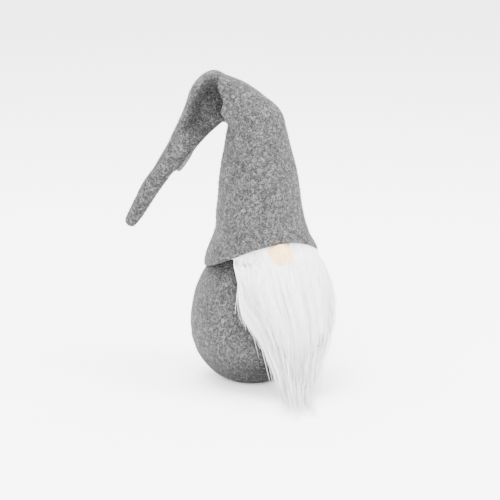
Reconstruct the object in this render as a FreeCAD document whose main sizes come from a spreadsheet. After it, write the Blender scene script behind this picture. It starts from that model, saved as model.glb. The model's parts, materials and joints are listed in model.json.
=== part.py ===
import FreeCAD, Part
import Sketcher
import math
import os

# A felt gnome that stands on a flat base. The origin is the centre of the base on the
# ground, +Z is up and the face looks along -Y. Sizes are in millimetres and degrees.
#
# The hat folds over in an upright plane, the bend plane. Points in it are given as
# (across, height), where across is measured from the body's axis, away from the tail.

SIZES = [
    # the sack
    ("felt", 2.0, "thickness of the wool felt"),
    ("belly_radius", 44.3, "widest radius of the sack"),
    ("belly_height", 41.0, "height of that widest place"),
    ("lower_curve", 46.7, "radius of the outline below the belly"),
    ("upper_curve", 80.0, "radius of the outline above the belly"),
    ("crown_curve", 40.0, "radius of the dome on top"),
    ("crown_angle", 30.8, "angle on the upper outline where the dome begins"),
    ("neck_radius", 7.0, "radius of the gathered neck"),
    ("neck_top", 105.0, "height of the neck"),
    ("disc_radius", 19.0, "radius of the felt disc in the base"),
    ("filling_start", 7.0, "height over the card where the body's filling begins"),
    # ballast and thread
    ("card_thick", 1.5, "thickness of the base card"),
    ("card_radius", 18.0, "radius of the base card"),
    ("bag_height", 26.0, "height of the ballast bag"),
    ("bag_radius", 27.0, "radius of the ballast bag"),
    ("bag_wall", 0.8, "thickness of the bag's cloth"),
    ("bag_round", 7.0, "rounding of the bag's edges"),
    ("fill_clear", 3.0, "space between the ballast and the side of its bag"),
    ("thread_radius", 0.4, "radius of the sewing thread"),
    ("stitch_length", 4.0, "length of a stitch"),
    ("stitch_pitch", 6.0, "distance between stitches"),
    # the face
    ("bead_radius", 9.0, "radius of the nose bead"),
    ("bead_bore", 1.5, "radius of the bead's bore"),
    ("bead_forward", 43.2, "distance of the bead's centre in front of the axis"),
    ("bead_across", 2.2, "distance of the bead's centre to the gnome's right of the axis"),
    ("bead_height", 101.7, "height of the bead's centre"),
    ("dab_radius", 4.5, "radius of the dab of glue behind the bead"),
    ("dab_length", 7.0, "length of that dab"),
    ("dab_back", 13.0, "distance from the bead's centre back to the dab's far end"),
    ("backing_thick", 1.2, "thickness of the fur's woven backing"),
    ("lift_forward", 38.0, "distance of the beard's hinge line in front of the axis"),
    ("lift_height", 84.0, "height of the beard's hinge line"),
    ("lift_slope", 25.0, "slope of the lifting fur's top, so that it clears the rest"),
    ("fall_top", 45.0, "height below which the whole beard is free"),
    ("gap", 0.4, "clearance between pieces that move past each other"),
    # the hat
    ("bend_turn", -30.0, "turn of the bend plane about the upright axis"),
    ("brim_curve", 172.4, "radius of the curved cut of the brim, seen from the side"),
    ("brim_back", 54.0, "centre of that curve behind the axis"),
    ("brim_height", 251.75, "height of that centre"),
    ("fold_across", -27.0, "across position of the fold's axis"),
    ("fold_height", 205.5, "height of the fold's axis"),
    ("tail_angle", 236.4, "direction of the tail in the bend plane"),
    ("tail_start", 12.0, "distance from the fold's axis to where the tail begins"),
    ("tail_radius", 14.5, "radius of the tail where it begins"),
    ("bend_place", 57.5, "distance from the fold's axis to the axis of the second bend"),
    ("bend_reach", 6.0, "half length of the felt that bends there"),
    ("crease_gap", 2.5, "distance from the crease's centre to the felt"),
    ("cone_top_radius", 20.5, "radius of the cone under the fold"),
    ("wire_radius", 1.0, "radius of the shaping wire"),
    ("wire_start", 130.0, "height where the wire begins"),
    ("wire_across", 4.4, "across position of the wire's upright run"),
    ("wire_deep", 9.0, "distance of the wire behind the bend plane, up to the fold"),
    ("wire_curve", 22.0, "radius of the wire's bend in the fold"),
    ("wire_turn", 60.0, "angle of that bend"),
    ("fold_clear", 1.5, "distance from the fold's axis to the ends of the wire"),
    ("bend_clear", 0.8, "the same at the second bend"),
    ("wire_short", 6.0, "distance from the end of the wire to the end of the tip"),
    ("stuffing_start", 96.0, "height where the hat's filling begins"),
    ("glue_low", 3.0, "distance from the brim's edge up to the glue"),
    ("glue_high", 7.0, "distance from the brim's edge to the top of the glue"),
]

# Level sections of the hat's cone: height, centre in X and Y, half width in X and Y.
CONE_SECTIONS = [
    (72.0, 3.5, -6.0, 39.8, 43.0),
    (90.0, 3.5, -6.0, 38.8, 42.0),
    (112.5, 2.5, -10.0, 32.2, 37.0),
    (130.0, 3.5, -5.5, 29.9, 32.5),
    (148.0, 3.5, -4.0, 28.3, 29.0),
    (166.0, 3.5, -2.6, 24.8, 25.0),
]

# Sections of the fold, fanned about the crease: part of the turn, reach, half depth.
FOLD_SECTIONS = [
    (0.17, 39.0, 19.0),
    (0.34, 34.2, 18.0),
    (0.54, 34.0, 17.0),
    (0.70, 39.5, 16.0),
    (0.85, 36.8, 15.0),
]

# Radius of the tail at distances from the fold's axis.
TAIL_SECTIONS = [
    (12.0, 14.5), (31.0, 9.8), (51.5, 7.4), (63.5, 6.9), (90.0, 6.0), (101.0, 4.8), (109.0, 3.2),
]

# Where the rows of seam stitches begin and end: up the sack, along the tail and the tip.
BODY_SEAM = (6.0, 78.0)
TAIL_SEAM = (30.0, 48.0)
TIP_SEAM = (68.0, 102.0)

# Corners of the fur patch, seen from the front: X and height.
PATCH_CORNERS = [(-19, 99), (23, 99), (28, 78), (18, 60), (4, 52), (-10, 60), (-22, 78)]

# Level sections of the hanging beard: height, centre in X and Y, half width in X and Y.
BEARD_SECTIONS = [
    (106.0, 5.0, -24.0, 34.0, 22.0),
    (84.0, 6.0, -24.0, 38.0, 28.0),
    (62.0, 9.0, -28.0, 39.0, 29.0),
    (41.0, 11.0, -38.0, 34.0, 23.0),
    (20.0, 10.0, -47.0, 24.0, 17.0),
    (4.0, 5.0, -57.0, 14.0, 12.0),
    (0.6, 5.0, -59.0, 11.0, 10.0),
]

# Upright sections of the tuft that lies on the ground: centre in X, distance forward, half
# width and height.
TUFT_SECTIONS = [(4.0, 56.0, 10.0, 8.0), (-5.0, 80.0, 9.0, 5.0), (-16.0, 108.0, 4.0, 2.2)]
TUFT_LIFT = 0.6

# Points that an oval's curve is drawn through.
OVAL_POINTS = 16

# A length greater than the whole figure, for the blocks that pieces are cut with.
WIDE = 300.0

doc = FreeCAD.newDocument("gnome")
sheet = doc.addObject("Spreadsheet::Sheet", "sizes")
for row, (alias, number, note) in enumerate(SIZES, start=1):
    sheet.set(f"A{row}", str(number))
    sheet.setAlias(f"A{row}", alias)
    sheet.set(f"B{row}", note)
doc.recompute()

finished = []


def size(alias):
    """The sheet's number under that alias."""
    return float(sheet.get(alias))


def piece(label, shape):
    """A finished sub-part whose shape is made here."""
    feature = doc.addObject("Part::Feature", label)
    feature.Label = label
    feature.Shape = shape
    feature.Placement = FreeCAD.Placement()
    finished.append(feature)
    return feature


def block(back=WIDE, front=WIDE, low=-WIDE, high=WIDE):
    """A block as wide as can be, from front of the axis to behind it, between two heights."""
    corner = FreeCAD.Vector(-WIDE, -front, low)
    return Part.makeBox(2 * WIDE, front + back, high - low, corner)


def origin_plane(body, role):
    """One of a body's own origin planes."""
    return next(plane for plane in body.Origin.OriginFeatures if plane.Role == role)


def bend_point(across, height, depth=0.0):
    """A point of the bend plane, or one that lies depth behind it."""
    turn = math.radians(size("bend_turn"))
    return FreeCAD.Vector(
        across * math.cos(turn) - depth * math.sin(turn),
        across * math.sin(turn) + depth * math.cos(turn),
        height,
    )


def bend_direction(angle):
    """A unit vector in the bend plane, angle degrees up from the horizontal."""
    return bend_point(math.cos(math.radians(angle)), math.sin(math.radians(angle)))


def oval(centre, first, second, half_first, half_second):
    """A closed oval wire about centre, with its two half widths along first and second."""
    points = []
    for step in range(OVAL_POINTS):
        angle = 2 * math.pi * step / OVAL_POINTS
        points.append(
            centre + half_first * math.cos(angle) * first + half_second * math.sin(angle) * second
        )
    curve = Part.BSplineCurve()
    curve.interpolate(points, PeriodicFlag=True)
    return Part.Wire(curve.toShape())


def level_oval(section, inset=0.0):
    """An oval section of the cone or the beard, at one height."""
    height, x, y, half_x, half_y = section
    return oval(
        FreeCAD.Vector(x, y, height), FreeCAD.Vector(1, 0, 0), FreeCAD.Vector(0, 1, 0),
        half_x - inset, half_y - inset,
    )


def loft(wires):
    """A smooth solid through closed wires."""
    return Part.makeLoft(wires, True, False)


# ------------------------------------------------------------------ body

def sack(name, grow):
    """The sack's outline, revolved, with every surface moved outwards by grow."""
    body = doc.addObject("PartDesign::Body", name)
    sketch = body.newObject("Sketcher::SketchObject", name + "_outline")
    sketch.AttachmentSupport = [(origin_plane(body, "XZ_Plane"), "")]
    sketch.MapMode = "FlatFace"
    belly, middle = size("belly_radius"), size("belly_height")
    lower, upper, crown = size("lower_curve"), size("upper_curve"), size("crown_curve")
    angle = math.radians(size("crown_angle"))
    ring, neck, top = lower + grow, size("neck_radius") + grow, size("neck_top") + grow
    up = FreeCAD.Vector(0, 0, 1)
    low_centre = FreeCAD.Vector(belly - lower, middle, 0)
    high_centre = FreeCAD.Vector(belly - upper, middle, 0)
    step = (upper - crown) * FreeCAD.Vector(math.cos(angle), math.sin(angle), 0)
    dome_centre = high_centre + step
    base_angle = -math.asin((middle + grow) / ring)
    base_x = low_centre.x + ring * math.cos(base_angle)
    dome_x = high_centre.x + (upper + grow) * math.cos(angle)
    neck_angle = math.acos((neck - dome_centre.x) / (crown + grow))
    neck_z = dome_centre.y + (crown + grow) * math.sin(neck_angle)

    def line(x1, y1, x2, y2):
        return Part.LineSegment(FreeCAD.Vector(x1, y1, 0), FreeCAD.Vector(x2, y2, 0))

    def arc(centre, radius, begin, end):
        return Part.ArcOfCircle(Part.Circle(centre, up, radius), begin, end)

    sketch.addGeometry([
        line(0, -grow, base_x, -grow),
        arc(low_centre, ring, base_angle, 0.0),
        arc(high_centre, upper + grow, 0.0, angle),
        arc(dome_centre, crown + grow, angle, neck_angle),
        line(neck, neck_z, neck, top),
        line(neck, top, 0, top),
        line(0, top, 0, -grow),
    ], False)
    start, end, centre, origin = 1, 2, 3, -1

    def bound(constraint, expression):
        index = sketch.addConstraint(constraint)
        sketch.setExpression(f"Constraints[{index}]", expression)

    for edge in range(7):
        sketch.addConstraint(Sketcher.Constraint("Coincident", edge, end, (edge + 1) % 7, start))
    for edge in (0, 5):
        sketch.addConstraint(Sketcher.Constraint("Horizontal", edge))
    for edge in (4, 6):
        sketch.addConstraint(Sketcher.Constraint("Vertical", edge))
    sketch.addConstraint(Sketcher.Constraint("PointOnObject", 6, start, -2))
    bound(Sketcher.Constraint("DistanceX", origin, 1, 2, start, belly + grow),
          f"sizes.belly_radius + {grow}")
    bound(Sketcher.Constraint("DistanceY", origin, 1, 2, start, middle), "sizes.belly_height")
    bound(Sketcher.Constraint("DistanceX", origin, 1, 3, start, dome_x),
          f"sizes.belly_radius - sizes.upper_curve"
          f" + (sizes.upper_curve + {grow}) * cos(sizes.crown_angle * 1 deg)")
    for edge, place, curve in ((1, low_centre, "lower_curve"), (2, high_centre, "upper_curve")):
        bound(Sketcher.Constraint("DistanceX", origin, 1, edge, centre, place.x),
              f"sizes.belly_radius - sizes.{curve}")
        bound(Sketcher.Constraint("DistanceY", origin, 1, edge, centre, middle),
              "sizes.belly_height")
    bound(Sketcher.Constraint("DistanceX", origin, 1, 3, centre, dome_centre.x),
          "sizes.belly_radius - sizes.upper_curve"
          " + (sizes.upper_curve - sizes.crown_curve) * cos(sizes.crown_angle * 1 deg)")
    bound(Sketcher.Constraint("DistanceY", origin, 1, 3, centre, dome_centre.y),
          "sizes.belly_height"
          " + (sizes.upper_curve - sizes.crown_curve) * sin(sizes.crown_angle * 1 deg)")
    bound(Sketcher.Constraint("DistanceX", origin, 1, 4, start, neck),
          f"sizes.neck_radius + {grow}")
    bound(Sketcher.Constraint("DistanceY", origin, 1, 5, end, top), f"sizes.neck_top + {grow}")
    if grow:
        bound(Sketcher.Constraint("DistanceY", origin, 1, 0, start, -grow), f"{-grow}")
    else:
        sketch.addConstraint(Sketcher.Constraint("PointOnObject", 0, start, -1))
    turned = body.newObject("PartDesign::Revolution", name + "_turned")
    turned.Profile = sketch
    turned.ReferenceAxis = (sketch, ["V_Axis"])
    turned.Angle = 360
    body.Tip = turned
    doc.recompute()
    return body.Shape


def sack_radius(height):
    """Outer radius of the sack at a height on its side or dome."""
    middle = size("belly_height")
    belly, lower, upper = size("belly_radius"), size("lower_curve"), size("upper_curve")
    curve = lower if height < middle else upper
    return belly - curve + math.sqrt(curve ** 2 - (height - middle) ** 2)


def stitch(place, direction):
    """One stitch: a short thread that lies half in the felt."""
    length = size("stitch_length")
    return Part.makeCylinder(
        size("thread_radius"), length, place - 0.5 * length * direction, direction
    )


def heights(first, last):
    """Evenly pitched places from first to at most last."""
    count = int((last - first) / size("stitch_pitch")) + 1
    return [first + index * size("stitch_pitch") for index in range(count)]


def body_pieces():
    """The sack, its base, its threads and what fills it."""
    felt, thread = size("felt"), size("thread_radius")
    inside = sack("sack_inside", -felt)
    seam_ring = Part.makeTorus(size("disc_radius"), thread, FreeCAD.Vector(0, 0, 0.5 * felt))
    tie_height = size("neck_top") - 1.5
    tie = Part.makeTorus(size("neck_radius"), thread, FreeCAD.Vector(0, 0, tie_height))
    stitches = Part.Compound([
        stitch(FreeCAD.Vector(0, sack_radius(z), z), FreeCAD.Vector(1, 0, 0))
        for z in heights(*BODY_SEAM)
    ])
    disc = Part.makeCylinder(size("disc_radius"), felt)
    shell = sack_outside.cut(inside).cut(disc).cut(seam_ring).cut(tie).cut(stitches)
    piece("body_felt", shell)
    piece("body_seam_stitches", stitches)
    piece("base_felt_disc", disc.cut(seam_ring))
    piece("base_seam_thread", seam_ring)
    piece("neck_tie_thread", tie)

    card = doc.addObject("Part::Cylinder", "base_card")
    card.setExpression("Radius", "sizes.card_radius")
    card.setExpression("Height", "sizes.card_thick")
    card.Placement.Base = FreeCAD.Vector(0, 0, felt)
    finished.append(card)

    floor = felt + size("card_thick")
    bag = Part.makeCylinder(size("bag_radius"), size("bag_height"), FreeCAD.Vector(0, 0, floor))
    bag = bag.makeFillet(size("bag_round"), bag.Edges).common(inside)
    filling = Part.makeCylinder(
        size("bag_radius") - size("fill_clear"), size("bag_height") - 2 * size("bag_wall"),
        FreeCAD.Vector(0, 0, floor + size("bag_wall")),
    )
    filling = filling.makeFillet(size("bag_round"), filling.Edges)
    around = Part.makeSphere(
        size("lower_curve") - felt - size("fill_clear"),
        FreeCAD.Vector(0, 0, size("belly_height")),
    )
    filling = filling.common(around)
    piece("ballast_bag", bag.cut(filling))
    piece("ballast_fill", filling)
    piece("body_stuffing", inside.common(block(low=floor + size("filling_start"))).cut(bag))


# ------------------------------------------------------------------ face

def nose():
    """The bead, with its bore upright, and the glue behind it."""
    bead = doc.addObject("Part::Sphere", "bead_ball")
    bead.setExpression("Radius", "sizes.bead_radius")
    bead.setExpression("Placement.Base.x", "-sizes.bead_across")
    bead.setExpression("Placement.Base.y", "-sizes.bead_forward")
    bead.setExpression("Placement.Base.z", "sizes.bead_height")
    bore = doc.addObject("Part::Cylinder", "bead_drill")
    bore.setExpression("Radius", "sizes.bead_bore")
    bore.setExpression("Height", "2 * sizes.bead_radius")
    bore.setExpression("Placement.Base.x", "-sizes.bead_across")
    bore.setExpression("Placement.Base.y", "-sizes.bead_forward")
    bore.setExpression("Placement.Base.z", "sizes.bead_height - sizes.bead_radius")
    drilled = doc.addObject("Part::Cut", "nose_bead")
    drilled.Base = bead
    drilled.Tool = bore
    finished.append(drilled)
    doc.recompute()
    ball = bead.Shape
    back_y = size("dab_back") - size("bead_forward")
    back = FreeCAD.Vector(-size("bead_across"), back_y, size("bead_height"))
    forward = FreeCAD.Vector(0, -1, 0)
    dab = Part.makeCylinder(size("dab_radius"), size("dab_length"), back, forward).cut(ball)
    piece("nose_glue", dab)
    return ball, dab


def shield():
    """The outline of the fur patch, as a block that reaches forward from the axis."""
    points = [FreeCAD.Vector(x, 0, z) for x, z in PATCH_CORNERS]
    outline = Part.makePolygon(points + points[:1])
    return Part.Face(outline).extrude(FreeCAD.Vector(0, -WIDE, 0))


def tuft():
    """The end of the beard, which lies forward on the ground."""
    return loft([
        oval(
            FreeCAD.Vector(x, -forward, TUFT_LIFT + 0.5 * height),
            FreeCAD.Vector(1, 0, 0), FreeCAD.Vector(0, 0, 1), half, 0.5 * height,
        )
        for x, forward, half, height in TUFT_SECTIONS
    ])


def beard(ball, dab, hat_solid):
    """The fur patch's backing, the fur that stays and the fur that lifts."""
    gap, hinge_y, hinge_z = size("gap"), -size("lift_forward"), size("lift_height")
    piece("beard_backing", sack_backed.common(shield()).cut(sack_outside))

    whole = loft([level_oval(section) for section in BEARD_SECTIONS])
    free = block(high=size("fall_top")).fuse(block(back=hinge_y, high=hinge_z))
    slope = block(back=0.0, low=0.0)
    slope.Placement = FreeCAD.Placement(
        FreeCAD.Vector(0, hinge_y, hinge_z),
        FreeCAD.Rotation(FreeCAD.Vector(1, 0, 0), size("lift_slope")),
    )
    clear = sack("sack_and_clearance", size("backing_thick") + gap)
    piece("beard_fall", whole.common(free).cut(slope).cut(clear).fuse(tuft()).removeSplitter())

    held = block(front=-hinge_y - gap, low=size("fall_top") + gap)
    piece("beard_upper", whole.common(held).cut(sack_backed).cut(hat_solid).cut(ball).cut(dab))


# ------------------------------------------------------------------ hat

def tail_point(distance):
    """A point on the tail's centre line, measured from the fold's axis."""
    centre = bend_point(size("fold_across"), size("fold_height"))
    return centre + distance * bend_direction(size("tail_angle"))


def crease():
    """The centre that the fold's sections fan about, inside the crease."""
    reach = size("tail_radius") + size("crease_gap")
    return tail_point(size("tail_start")) - reach * bend_direction(size("tail_angle") - 90)


def depth_axis():
    """The horizontal direction square to the bend plane, away from the face."""
    return bend_point(0, 0, 1)


def fold_oval(angle, reach, half_depth, inset=0.0):
    """A section of the fold: an oval that stands on the crease at that angle."""
    direction = bend_direction(angle)
    half = 0.5 * (reach - size("crease_gap"))
    centre = crease() + (size("crease_gap") + half) * direction
    return oval(centre, direction, depth_axis(), half - inset, half_depth - inset)


def tail_circle(distance, radius):
    """A round section of the tail."""
    direction = bend_direction(size("tail_angle") - 90)
    return oval(tail_point(distance), direction, depth_axis(), radius, radius)


def cone_wires(inset):
    """The cone's sections from below the brim to the start of the fold."""
    radius = size("cone_top_radius")
    centre = crease() + (size("crease_gap") + radius) * bend_direction(0)
    top = (centre.z, centre.x, centre.y, radius, radius)
    return [level_oval(section, inset) for section in CONE_SECTIONS + [top]]


def fold_wires(inset):
    """The fold's sections from the cone's top to the start of the tail."""
    turn = size("tail_angle") - 90
    gap, first, last = size("crease_gap"), size("cone_top_radius"), size("tail_radius")
    sections = [(0.0, gap + 2 * first, first)] + FOLD_SECTIONS + [(1.0, gap + 2 * last, last)]
    return [fold_oval(part * turn, reach, depth, inset) for part, reach, depth in sections]


def fold(inset):
    """The fold, lofted in two halves because it turns through more than a right angle."""
    wires = fold_wires(inset)
    half = len(wires) // 2
    return loft(wires[:half + 1]).fuse(loft(wires[half:])).removeSplitter()


def fold_end(distance):
    """A point on the wire's line through the fold, at a distance down the tail."""
    return tail_point(distance) + size("wire_deep") * depth_axis()


def wire_path():
    """The wire's lower run: up the cone, round one bend and on to the fold's axis."""
    curve, turn, across = size("wire_curve"), size("wire_turn"), size("wire_across")
    deep = size("wire_deep")
    corner = math.radians(turn)
    run = (across - curve * (1 - math.cos(corner)) - size("fold_across")) / math.sin(corner)
    rise = curve * math.sin(corner) + run * math.cos(corner)
    bend_height = size("fold_height") - rise
    bottom = bend_point(across, size("wire_start"), deep)
    begin = bend_point(across, bend_height, deep)
    half = 0.5 * corner
    middle = bend_point(
        across - curve * (1 - math.cos(half)), bend_height + curve * math.sin(half), deep
    )
    finish = bend_point(
        across - curve * (1 - math.cos(corner)), bend_height + curve * math.sin(corner), deep
    )
    end = fold_end(0) - size("fold_clear") * bend_direction(90 + turn)
    return Part.Wire([
        Part.LineSegment(bottom, begin).toShape(),
        Part.Arc(begin, middle, finish).toShape(),
        Part.LineSegment(finish, end).toShape(),
    ])


def hat_wires():
    """The shaping wire in its three stretches, which meet near the bends' axes."""
    radius, fold_clear, bend_clear = size("wire_radius"), size("fold_clear"), size("bend_clear")
    path = wire_path()
    ring = Part.Wire(Part.makeCircle(
        radius, path.Edges[0].firstVertex().Point, FreeCAD.Vector(0, 0, 1)
    ))
    lower = path.makePipeShell([ring], True, False)
    along = bend_direction(size("tail_angle"))
    middle_start = fold_end(fold_clear)
    middle_run = tail_point(size("bend_place") - bend_clear) - middle_start
    middle = Part.makeCylinder(radius, middle_run.Length, middle_start, middle_run)
    tip_start = size("bend_place") + bend_clear
    tip_run = TAIL_SECTIONS[-1][0] - size("wire_short") - tip_start
    tip = Part.makeCylinder(radius, tip_run, tail_point(tip_start), along)
    piece("hat_wire_lower", lower)
    piece("hat_wire_tail", middle)
    piece("hat_wire_tip", tip)
    return lower, middle, tip


def seam_places(first, last, radius_at):
    """Places along the underside of the tail, for its seam stitches."""
    side = bend_direction(size("tail_angle") + 90)
    return [tail_point(place) + radius_at(place) * side for place in heights(first, last)]


def seam_stitches(places):
    """A row of stitches across the hat's seam."""
    return Part.Compound([stitch(place, depth_axis()) for place in places])


def between(sections):
    """A function that gives the radius at a distance, in a straight line between sections."""
    def radius_at(place):
        for (near, wide), (far, narrow) in zip(sections, sections[1:]):
            if place <= far:
                return wide + (narrow - wide) * (place - near) / (far - near)
        return sections[-1][1]
    return radius_at


def cone_seam_places():
    """Places up the cone's side under the tail, for its seam stitches."""
    turn = math.radians(size("bend_turn"))
    side = FreeCAD.Vector(-math.cos(turn), -math.sin(turn), 0)
    places = []
    for low, high in zip(CONE_SECTIONS[1:], CONE_SECTIONS[2:]):
        for step in (0.15, 0.5, 0.85):
            mix = [a + (b - a) * step for a, b in zip(low, high)]
            height, x, y, half_x, half_y = mix
            reach = 1 / math.hypot(side.x / half_x, side.y / half_y)
            places.append(FreeCAD.Vector(x, y, height) + reach * side)
    return places


def stretch(first, last, inset=0.0):
    """The tail's sections between two distances, as (distance, radius)."""
    return [
        (place, radius - inset) for place, radius in TAIL_SECTIONS if first <= place <= last
    ]


def tail_solid(sections):
    """The solid through round sections of the tail."""
    return loft([tail_circle(*section) for section in sections])


def brim_cylinder(above=0.0):
    """The level cylinder that the brim's edge lies on, or one that far above the edge."""
    return Part.makeCylinder(
        size("brim_curve") - above, 2 * WIDE,
        FreeCAD.Vector(-WIDE, size("brim_back"), size("brim_height")), FreeCAD.Vector(1, 0, 0),
    )


def tail_pieces(tip_wire):
    """The tail's felt from the fold to the tip, with its seam."""
    felt = size("felt")
    bend_start = size("bend_place") - size("bend_reach")
    bend_end = size("bend_place") + size("bend_reach")
    tail = stretch(size("tail_start"), bend_start)
    bend = stretch(bend_start, bend_end)
    tip = stretch(bend_end, TAIL_SECTIONS[-1][0])

    tail_stitches = seam_stitches(seam_places(*TAIL_SEAM, between(tail)))
    hollow = tail_solid(stretch(size("tail_start"), bend_start, felt))
    piece("hat_tail_felt", tail_solid(tail).cut(hollow).cut(tail_stitches))
    piece("hat_tail_stitches", tail_stitches)
    piece("hat_bend_felt", tail_solid(bend).cut(tail_solid(stretch(bend_start, bend_end, felt))))
    tip_stitches = seam_stitches(seam_places(*TIP_SEAM, between(tip)))
    piece("hat_tip_felt", tail_solid(tip).cut(tip_wire).cut(tip_stitches))
    piece("hat_tip_stitches", tip_stitches)


def hat(ball, dab):
    """The felt of the cone and the fold, the tail, the wire and what is inside the hat."""
    felt = size("felt")
    hollow = loft(cone_wires(felt)).common(brim_cylinder())
    trimmed = loft(cone_wires(0.0)).common(brim_cylinder())
    lower_wire, _, tip_wire = hat_wires()

    cone_stitches = seam_stitches(cone_seam_places())
    piece("hat_cone_felt", trimmed.cut(hollow).cut(sack_outside).cut(cone_stitches).cut(ball))
    piece("hat_cone_stitches", cone_stitches)
    piece("hat_fold_felt", fold(0.0).cut(fold(felt)))
    tail_pieces(tip_wire)

    stuffing = hollow.common(block(low=size("stuffing_start")))
    piece("hat_stuffing", stuffing.cut(sack_backed).cut(lower_wire).cut(ball).cut(dab))
    band = brim_cylinder(size("glue_low")).cut(brim_cylinder(size("glue_high")))
    piece("hat_glue_ring", hollow.common(band).common(block(front=0.0)).cut(sack_backed))
    return trimmed


def report_and_write():
    """Stops on a failed object, then writes each sub-part to its own file."""
    doc.recompute()
    for item in doc.Objects:
        if {"Invalid", "Error"} & set(item.State):
            raise RuntimeError(f"{item.Label} failed: {item.State}")
    os.makedirs("parts", exist_ok=True)
    for item in finished:
        shape = item.Shape
        if shape.isNull() or not shape.isValid():
            raise RuntimeError(f"{item.Label} has no valid shape")
        print(f"{item.Label}: {len(shape.Solids)} solids, {shape.Volume:.1f} mm3")
        shape.exportStep(f"parts/{item.Label}.step")


sack_outside = sack("sack_outside", 0.0)
sack_backed = sack("sack_and_backing", size("backing_thick"))
body_pieces()
bead_ball, glue_dab = nose()
hat_solid = hat(bead_ball, glue_dab)
beard(bead_ball, glue_dab, hat_solid)
report_and_write()
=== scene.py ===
import json
import math

import bmesh
import bpy
import numpy as np
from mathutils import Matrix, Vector, noise
from mathutils.bvhtree import BVHTree


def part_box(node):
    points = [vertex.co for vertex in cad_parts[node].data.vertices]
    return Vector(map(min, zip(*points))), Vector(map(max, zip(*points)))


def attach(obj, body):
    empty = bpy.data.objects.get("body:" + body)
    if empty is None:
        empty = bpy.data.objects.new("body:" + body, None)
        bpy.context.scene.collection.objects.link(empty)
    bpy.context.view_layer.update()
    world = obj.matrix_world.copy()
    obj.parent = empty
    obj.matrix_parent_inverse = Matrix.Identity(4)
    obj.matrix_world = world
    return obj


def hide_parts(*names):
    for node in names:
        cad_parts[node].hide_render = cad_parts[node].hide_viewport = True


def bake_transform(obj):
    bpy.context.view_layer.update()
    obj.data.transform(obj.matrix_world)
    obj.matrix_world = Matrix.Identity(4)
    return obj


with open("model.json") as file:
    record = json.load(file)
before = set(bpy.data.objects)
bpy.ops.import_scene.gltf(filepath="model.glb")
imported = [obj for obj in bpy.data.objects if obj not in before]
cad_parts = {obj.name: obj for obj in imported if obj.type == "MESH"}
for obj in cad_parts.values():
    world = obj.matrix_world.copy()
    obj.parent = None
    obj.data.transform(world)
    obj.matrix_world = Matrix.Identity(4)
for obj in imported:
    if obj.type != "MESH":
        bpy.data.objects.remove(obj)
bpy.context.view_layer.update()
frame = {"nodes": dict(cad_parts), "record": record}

# A felt gnome with a folded hat, a bead nose and a long fur beard. The face looks along
# -Y. Lengths are in metres; the shapes below are stated in millimetres and scaled by MM.
# The hat folds in an upright plane: points in it are (across, height), where across is
# measured away from the tail, and depth runs behind that plane.

MM = 0.001
SEED = 11
JOINTS = {joint["name"]: joint for joint in frame["record"]["behaviour"]["joints"]}

FOLD_AXIS = Vector(JOINTS["hat_fold"]["pos_m"])
TIP_AXIS = Vector(JOINTS["hat_tip_bend"]["pos_m"])
BEAD_LOW, BEAD_HIGH = (Vector(corner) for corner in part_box("nose_bead"))
BEAD = 0.5 * (BEAD_LOW + BEAD_HIGH)
UP = Vector((0, 0, 1))
DEPTH = Vector(JOINTS["hat_fold"]["axis"]).normalized()
ACROSS = Vector((DEPTH.y, -DEPTH.x, 0))
TAIL = (TIP_AXIS - FOLD_AXIS).normalized()
TAIL_OUT = TAIL.cross(DEPTH) * -1

FELT = 2.0
CREASE_GAP = 2.5
TAIL_START = 12.0
TAIL_RADIUS = 14.5
CONE_TOP_RADIUS = 20.5
CREASE = FOLD_AXIS + MM * (TAIL_START * TAIL - (TAIL_RADIUS + CREASE_GAP) * TAIL_OUT)

# The brim lies on a level cylinder across the figure: its radius and its centre.
BRIM_CURVE = 172.4
BRIM_BACK = 54.0
BRIM_HEIGHT = 251.75

BEAD_RADIUS = 0.5 * (BEAD_HIGH.x - BEAD_LOW.x) / MM

# The sack's outline: arcs below the belly, above it and over the crown.
BELLY_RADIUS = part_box("body_felt")[1][0] / MM
BELLY_HEIGHT = 41.0
LOWER_CURVE = 46.7
UPPER_CURVE = 80.0
CROWN_CURVE = 40.0
CROWN_ANGLE = math.radians(30.8)
NECK_RADIUS = 7.0
NECK_TOP = 104.0

# Level sections of the cone: height, centre in X and Y, half width in X and Y.
CONE_SECTIONS = [
    (72.0, 3.5, -6.0, 40.3, 43.5),
    (90.0, 3.5, -6.0, 38.8, 42.0),
    (112.5, 2.5, -10.0, 32.2, 37.0),
    (130.0, 3.5, -5.5, 29.9, 32.5),
    (148.0, 3.5, -4.0, 28.3, 29.0),
    (166.0, 3.5, -2.6, 24.8, 25.0),
]

# The fold's outline about the crease: angle, reach, half depth.
SHOULDER = [
    (0.0, 43.5, 20.5), (9.0, 42.7, 20.3), (23.0, 39.4, 19.6), (34.0, 36.2, 19.0),
    (46.0, 34.6, 18.5), (60.0, 34.2, 18.0), (80.0, 35.0, 17.4), (95.0, 37.4, 17.0),
]
KNEE = [
    (72.0, 31.0, 14.6), (84.0, 34.0, 15.4), (93.0, 38.2, 16.2), (101.0, 40.2, 16.0),
    (109.0, 39.8, 15.4), (119.0, 38.1, 14.8), (127.0, 36.3, 14.2), (137.0, 33.8, 14.0),
    (146.4, 31.5, 14.0),
]

# The tail: distance from the fold's axis, shift outwards, radius.
TAIL_SHAPE = [
    (12.0, 0.0, 14.5), (20.0, 0.3, 12.6), (31.0, 0.6, 10.4), (42.0, 0.4, 9.2), (56.0, 0.6, 8.0),
    (60.0, 1.2, 7.0), (69.0, 1.6, 6.6), (90.0, 1.2, 6.0), (101.0, 0.4, 5.2), (107.0, 0.0, 4.5),
]

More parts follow.
